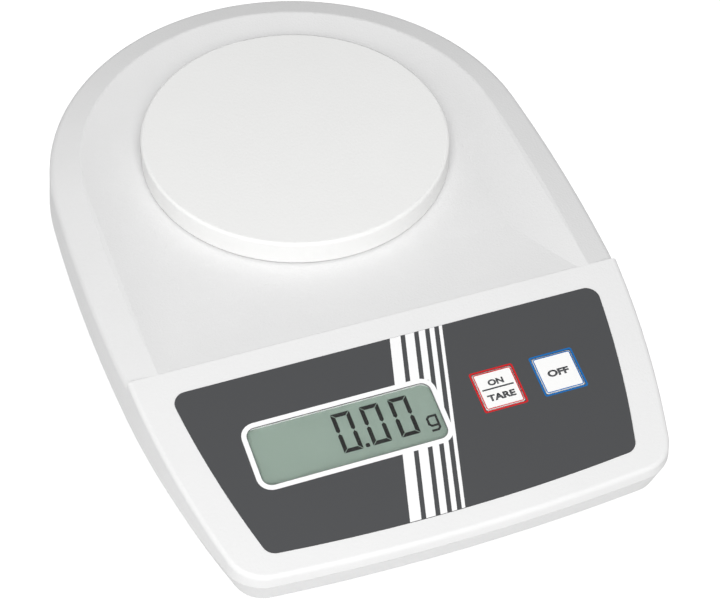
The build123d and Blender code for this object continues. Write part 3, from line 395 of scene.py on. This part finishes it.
def rounded_rectangle(x, y, width, height, radius):
    """Points round a rectangle with rounded corners"""
    points = []
    for turn, (side_x, side_y) in enumerate(((1, 1), (-1, 1), (-1, -1), (1, -1))):
        centre_x = x + side_x * (width / 2 - radius)
        centre_y = y + side_y * (height / 2 - radius)
        for step in range(CURVE_STEPS + 1):
            angle = math.pi / 2 * (turn + step / CURVE_STEPS)
            points.append((centre_x + radius * math.cos(angle), centre_y + radius * math.sin(angle)))
    return points


def curve_mesh(name, data):
    """Mesh of a filled curve or text"""
    holder = bpy.data.objects.new(name, data)
    bpy.context.collection.objects.link(holder)
    bpy.context.view_layer.update()
    mesh = bpy.data.meshes.new_from_object(holder.evaluated_get(bpy.context.evaluated_depsgraph_get()))
    bpy.data.objects.remove(holder)
    return mesh


def outline_piece(name, outlines, low, thickness, material, body):
    """Printed piece from closed outlines, where an inner outline makes a hole"""
    data = bpy.data.curves.new(name, "CURVE")
    data.dimensions = "2D"
    data.fill_mode = "BOTH"
    for outline in outlines:
        spline = data.splines.new("POLY")
        spline.points.add(len(outline) - 1)
        for point, (x, y) in zip(spline.points, outline):
            point.co = (x, y, 0, 1)
        spline.use_cyclic_u = True
    mesh = curve_mesh(name, data)
    bm = bmesh.new()
    bm.from_mesh(mesh)
    bmesh.ops.remove_doubles(bm, verts=bm.verts[:], dist=WELD)
    thicken(bm, thickness)
    bmesh.ops.transform(bm, matrix=panel_place(low), verts=bm.verts[:])
    bm.to_mesh(mesh)
    bm.free()
    return add_piece(name, mesh, material, body)


def word_piece(name, words, centre, width, height, low, thickness, material, body):
    """Printed word fitted to a width and a height"""
    data = bpy.data.curves.new(name, "FONT")
    data.body = words
    data.offset = LETTER_WEIGHT
    data.resolution_u = CURVE_STEPS
    mesh = curve_mesh(name, data)
    bm = bmesh.new()
    bm.from_mesh(mesh)
    bmesh.ops.remove_doubles(bm, verts=bm.verts[:], dist=TEXT_WELD)
    thicken(bm, 1.0)
    low_corner = Vector([min(vert.co[axis] for vert in bm.verts) for axis in range(3)])
    high_corner = Vector([max(vert.co[axis] for vert in bm.verts) for axis in range(3)])
    size = high_corner - low_corner
    middle = (low_corner + high_corner) / 2
    bmesh.ops.translate(bm, vec=(-middle.x, -middle.y, -low_corner.z), verts=bm.verts[:])
    bmesh.ops.scale(bm, vec=(width / size.x, height / size.y, thickness / size.z), verts=bm.verts[:])
    bmesh.ops.translate(bm, vec=(centre[0], centre[1], 0), verts=bm.verts[:])
    bmesh.ops.transform(bm, matrix=panel_place(low), verts=bm.verts[:])
    bm.to_mesh(mesh)
    bm.free()
    return add_piece(name, mesh, material, body)


STRIPE_EDGES = ((0.28, 3.88), (5.42, 8.45), (9.97, 12.15), (13.66, 15.30), (16.83, 17.94))


def foil_front(x):
    """Distance from the foil's rear edge to its bowed front edge"""
    panel = sizes("panel")
    return panel.foil_length - panel.foil_bow * (x / panel.foil_half_front) ** 2


def add_stripe_part(bm, left, right, rear, front, keep_right_of=None):
    """One leaning strip between two rows, cut off at the display's border where asked"""
    lean = sizes("stripes").lean
    made = bmesh.ops.create_grid(bm, x_segments=1, y_segments=1, size=0.5)
    for vert in made["verts"]:
        row = rear if vert.co.y > 0 else front
        edge = right if vert.co.x > 0 else left
        vert.co = (edge - lean * row, -row, 0)
    if keep_right_of is not None:
        part = list({item for vert in made["verts"] for item in (vert, *vert.link_edges, *vert.link_faces)})
        bmesh.ops.bisect_plane(
            bm,
            geom=part,
            plane_co=(keep_right_of, 0, 0),
            plane_no=(-1, 0, 0),
            clear_outer=True,
        )


class SCALE_OT_stripes(Operator):
    """Prints the five white stripes on the foil"""

    bl_idname = "scale.stripes"
    bl_label = "Foil Stripes"

    def execute(self, context):
        panel = sizes("panel")
        stripes = sizes("stripes")
        display = sizes("display")
        reach = display.border_gap + display.border - stripes.overlap
        border_rear = display.window_row - display.window_height / 2 - reach
        border_front = display.window_row + display.window_height / 2 + reach
        border_right = display.window_x + display.window_length / 2 + reach
        for number, (left, right) in enumerate(STRIPE_EDGES, start=1):
            left *= MM
            right *= MM
            front = foil_front(left - stripes.lean * panel.foil_length) - stripes.front_margin
            bm = bmesh.new()
            add_stripe_part(bm, left, right, stripes.rear_margin, border_rear)
            add_stripe_part(bm, left, right, border_rear, border_front, keep_right_of=border_right)
            add_stripe_part(bm, left, right, border_front, front)
            bmesh.ops.remove_doubles(bm, verts=bm.verts[:], dist=WELD)
            thicken(bm, panel.ink + INK_SINK)
            bmesh.ops.transform(bm, matrix=panel_place(panel.foil_top - INK_SINK), verts=bm.verts[:])
            mesh = bpy.data.meshes.new(f"stripe_{number}")
            bm.to_mesh(mesh)
            bm.free()
            add_piece(mesh.name, mesh, ink("white_ink"), "housing")
        return {"FINISHED"}


class SCALE_OT_display_border(Operator):
    """Prints the white border round the display's window"""

    bl_idname = "scale.display_border"
    bl_label = "Display Border"

    def execute(self, context):
        panel = sizes("panel")
        display = sizes("display")
        outlines = []
        for grow in (display.border_gap + display.border, display.border_gap):
            outlines.append(rounded_rectangle(
                display.window_x,
                -display.window_row,
                display.window_length + 2 * grow,
                display.window_height + 2 * grow,
                display.window_radius + grow,
            ))
        obj = outline_piece("display_border", outlines, panel.foil_top - INK_SINK, 2 * panel.ink + INK_SINK,
                            ink("white_ink"), "housing")
        return {"FINISHED"}


def segment_outlines(left, top, width, height, stroke, gap):
    """The six lit segments of a nought"""
    flat = [(gap, 0), (width - gap, 0), (width - stroke - gap, -stroke), (stroke + gap, -stroke)]
    half = height / 2 - gap
    shoulder = stroke / 2 - half
    post = [(0, -gap), (stroke, -stroke - gap), (stroke, shoulder), (stroke / 2, -half), (0, shoulder)]
    outlines = []
    for flip_y in (False, True):
        shapes = [flat, post, [(width - x, y) for x, y in post]]
        for shape in shapes:
            outlines.append([(left + x, top + (-height - y if flip_y else y)) for x, y in shape])
    return outlines


def unit_outlines(left, top, width, height, bowl, stroke, corner):
    """A small g: the letter's edge, and the hole in its bowl"""
    inner = corner / 2
    edge = [
        (corner, 0), (width, 0), (width, corner - height), (width - corner, -height), (inner, -height),
        (inner, stroke - height), (width - stroke - inner, stroke - height),
        (width - stroke, stroke - height + inner),
        (width - stroke, -bowl), (corner, -bowl), (0, corner - bowl), (0, -corner),
    ]
    hole = [
        (stroke + inner, -stroke), (width - stroke, -stroke), (width - stroke, stroke - bowl),
        (stroke + inner, stroke - bowl), (stroke, stroke - bowl + inner), (stroke, -stroke - inner),
    ]
    return [[(left + x, top + y) for x, y in outline] for outline in (edge, hole)]


class SCALE_OT_display_reading(Operator):
    """Shows the reading on the display: three noughts, the point and the unit"""

    bl_idname = "scale.display_reading"
    bl_label = "Display Reading"

    def execute(self, context):
        panel = sizes("panel")
        display = sizes("display")
        low = -display.glass_depth - INK_SINK
        thickness = panel.ink + INK_SINK
        for number in range(3):
            left = display.digit_first + number * display.digit_pitch
            outlines = segment_outlines(left, -display.digit_row, display.digit_width, display.digit_height,
                                        display.segment, display.segment_gap)
            obj = outline_piece(f"digit_{number + 1}", outlines, low, thickness, ink("segments"), "housing")
        dot_row = display.digit_row + display.digit_height - display.dot_size / 2
        side = display.dot_size
        dot = rounded_rectangle(display.dot_x, -dot_row, side, side, side / 4)
        obj = outline_piece("decimal_point", [dot], low, thickness, ink("segments"), "housing")
        outlines = unit_outlines(
            display.unit_x - display.unit_width / 2,
            display.unit_height / 2 - display.unit_row,
            display.unit_width,
            display.unit_height,
            display.unit_bowl,
            display.unit_stroke,
            display.unit_corner,
        )
        obj = outline_piece("unit_sign", outlines, low, thickness, ink("segments"), "housing")
        return {"FINISHED"}


def key_border(name, centre, side, band, low, thickness, colour, body):
    """Square coloured ring"""
    corner = sizes("keys").corner
    outlines = []
    for shrink in (0.0, band):
        inner_corner = max(corner - shrink, corner / 3)
        outlines.append(rounded_rectangle(*centre, side - 2 * shrink, side - 2 * shrink, inner_corner))
    return outline_piece(name, outlines, low, thickness, ink(colour), body)


class SCALE_OT_key_prints(Operator):
    """Prints the borders and the words of the two keys"""

    bl_idname = "scale.key_prints"
    bl_label = "Key Prints"

    def execute(self, context):
        panel = sizes("panel")
        keys = sizes("keys")
        thickness = panel.ink + INK_SINK
        cap_low = keys.cap_top - INK_SINK
        for body, x, colour in (("on_tare", keys.on_x, "red_ink"), ("off", keys.off_x, "blue_ink")):
            centre = (x, -keys.row)
            ring = key_border(f"border_{body}", centre, keys.hole + 2 * keys.border, keys.border,
                              panel.foil_top - INK_SINK, thickness, colour, "housing")
            rim = key_border(f"rim_{body}", centre, keys.rim_side, keys.rim, cap_low, thickness, colour, body)
        bar = rounded_rectangle(
            keys.on_x,
            keys.bar_rise - keys.row,
            keys.bar_length,
            keys.bar_height,
            keys.bar_height / 4,
        )
        upper = (keys.on_x, keys.upper_rise - keys.row)
        lower = (keys.on_x, -keys.row - keys.lower_drop)
        single = (keys.off_x, -keys.row)
        words = (
            ("word_on", "ON", upper, keys.upper_width, keys.upper_height, "on_tare"),
            ("word_tare", "TARE", lower, keys.lower_width, keys.lower_height, "on_tare"),
            ("word_off", "OFF", single, keys.off_width, keys.off_height, "off"),
        )
        prints = [outline_piece("word_bar", [bar], cap_low, thickness, ink("grey_ink"), "on_tare")]
        for name, word, centre, width, height, body in words:
            prints.append(word_piece(name, word, centre, width, height, cap_low, thickness, ink("grey_ink"), body))
        return {"FINISHED"}


class SCALE_OT_finishes(Operator):
    """Gives every part of the scale its finish"""

    bl_idname = "scale.finishes"
    bl_label = "Finishes"

    def execute(self, context):
        materials = {slot: finish_material(slot, *finish) for slot, finish in FINISHES.items()}
        materials["window_pane"] = pane_material()
        for subpart in frame["record"]["subparts"]:
            obj = frame["nodes"][subpart["node"]]
            material = materials[subpart["material_slot"]]
            if not obj.material_slots:
                obj.data.materials.append(material)
            for slot in obj.material_slots:
                slot.material = material
        return {"FINISHED"}


# Stage
def area_light(name, place, target, side, watts):
    """Soft square light aimed at a point"""
    data = bpy.data.lights.new(name, "AREA")
    data.shape = "SQUARE"
    data.size = side
    data.energy = watts
    obj = bpy.data.objects.new(name, data)
    bpy.context.collection.objects.link(obj)
    obj.location = place
    obj.rotation_euler = (Vector(target) - Vector(place)).to_track_quat("-Z", "Y").to_euler()
    return obj


def white_world(ambient):
    """World that looks white and lights softly"""
    world = bpy.data.worlds.new("studio")
    bpy.context.scene.world = world
    world.use_nodes = True
    tree = world.node_tree
    background = tree.nodes["Background"]
    background.inputs["Color"].default_value = (1, 1, 1, 1)
    rays = tree.nodes.new("ShaderNodeLightPath")
    blend = tree.nodes.new("ShaderNodeMapRange")
    blend.inputs["To Min"].default_value = ambient
    blend.inputs["To Max"].default_value = 1.0
    tree.links.new(rays.outputs["Is Camera Ray"], blend.inputs["Value"])
    tree.links.new(blend.outputs[0], background.inputs["Strength"])


def floor_material(glow_strength):
    """Pale floor, white to the camera, that keeps the shadow and is clear from below"""
    material = bpy.data.materials.new("floor")
    material.use_nodes = True
    tree = material.node_tree
    shader = tree.nodes["Principled BSDF"]
    shader.inputs["Base Color"].default_value = (0.8, 0.8, 0.8, 1)
    shader.inputs["Roughness"].default_value = 0.9
    shader.inputs["Emission Color"].default_value = (1, 1, 1, 1)
    rays = tree.nodes.new("ShaderNodeLightPath")
    glow = tree.nodes.new("ShaderNodeMath")
    glow.operation = "MULTIPLY"
    glow.inputs[1].default_value = glow_strength
    tree.links.new(rays.outputs["Is Camera Ray"], glow.inputs[0])
    tree.links.new(glow.outputs[0], shader.inputs["Emission Strength"])
    # Clear from below, so that the scale's underside can be seen
    clear = tree.nodes.new("ShaderNodeBsdfTransparent")
    side = tree.nodes.new("ShaderNodeNewGeometry")
    mix = tree.nodes.new("ShaderNodeMixShader")
    tree.links.new(side.outputs["Backfacing"], mix.inputs[0])
    tree.links.new(shader.outputs[0], mix.inputs[1])
    tree.links.new(clear.outputs[0], mix.inputs[2])
    tree.links.new(mix.outputs[0], tree.nodes["Material Output"].inputs["Surface"])
    return material


class SCALE_OT_stage(Operator):
    """Sets up the floor, the lights and the camera"""

    bl_idname = "scale.stage"
    bl_label = "Stage"

    def execute(self, context):
        stage = sizes("stage")
        bm = bmesh.new()
        bmesh.ops.create_grid(bm, x_segments=1, y_segments=1, size=stage.floor_side / 2)
        bmesh.ops.translate(bm, vec=(0, 0, -stage.floor_drop), verts=bm.verts[:])
        mesh = bpy.data.meshes.new("floor")
        bm.to_mesh(mesh)
        bm.free()
        mesh.materials.append(floor_material(stage.floor_glow))
        floor = bpy.data.objects.new("floor", mesh)
        bpy.context.collection.objects.link(floor)
        key = area_light("key_light", stage.key_place, stage.target, stage.key_side, stage.key_power)
        fill = area_light("fill_light", stage.fill_place, stage.target, stage.fill_side, stage.fill_power)
        white_world(stage.ambient)

        forward = Vector((
            math.sin(stage.yaw) * math.cos(stage.pitch),
            math.cos(stage.yaw) * math.cos(stage.pitch),
            -math.sin(stage.pitch),
        ))
        level = Vector((math.cos(stage.yaw), -math.sin(stage.yaw), 0))
        up = level.cross(forward)
        right = math.cos(stage.roll) * level + math.sin(stage.roll) * up
        above = -math.sin(stage.roll) * level + math.cos(stage.roll) * up
        turn = Matrix((right, above, -forward)).transposed()
        data = bpy.data.cameras.new("camera")
        data.sensor_width = stage.sensor
        data.sensor_fit = "HORIZONTAL"
        data.lens = stage.lens
        data.clip_start = 0.01
        camera = bpy.data.objects.new("camera", data)
        bpy.context.collection.objects.link(camera)
        camera.matrix_world = Matrix.Translation(stage.camera_place) @ turn.to_4x4()
        bpy.context.scene.camera = camera
        bpy.context.scene.view_settings.view_transform = "Standard"
        return {"FINISHED"}


OPERATORS = (
    SCALE_OT_finishes,
    SCALE_OT_stripes,
    SCALE_OT_display_border,
    SCALE_OT_display_reading,
    SCALE_OT_key_prints,
    SCALE_OT_stage,
)


class SCALE_PT_sidebar(Panel):
    """Lists the steps that dress the scale"""

    bl_idname = "SCALE_PT_sidebar"
    bl_label = "Compact Scale"
    bl_space_type = "VIEW_3D"
    bl_region_type = "UI"
    bl_category = "Scale"

    def draw(self, context):
        for operator in OPERATORS:
            self.layout.operator(operator.bl_idname)


def register():
    for group in SIZE_GROUPS.values():
        bpy.utils.register_class(group)
    for name, group in SIZE_GROUPS.items():
        setattr(bpy.types.Scene, "scale_" + name, PointerProperty(type=group))
    for operator in OPERATORS:
        bpy.utils.register_class(operator)
    bpy.utils.register_class(SCALE_PT_sidebar)


def unregister():
    bpy.utils.unregister_class(SCALE_PT_sidebar)
    for operator in reversed(OPERATORS):
        bpy.utils.unregister_class(operator)
    for name in SIZE_GROUPS:
        delattr(bpy.types.Scene, "scale_" + name)
    for group in SIZE_GROUPS.values():
        bpy.utils.unregister_class(group)


def main():
    register()
    bpy.ops.scale.finishes()
    bpy.ops.scale.stripes()
    bpy.ops.scale.display_border()
    bpy.ops.scale.display_reading()
    bpy.ops.scale.key_prints()
    bpy.ops.scale.stage()


if __name__ == "__main__":
    main()
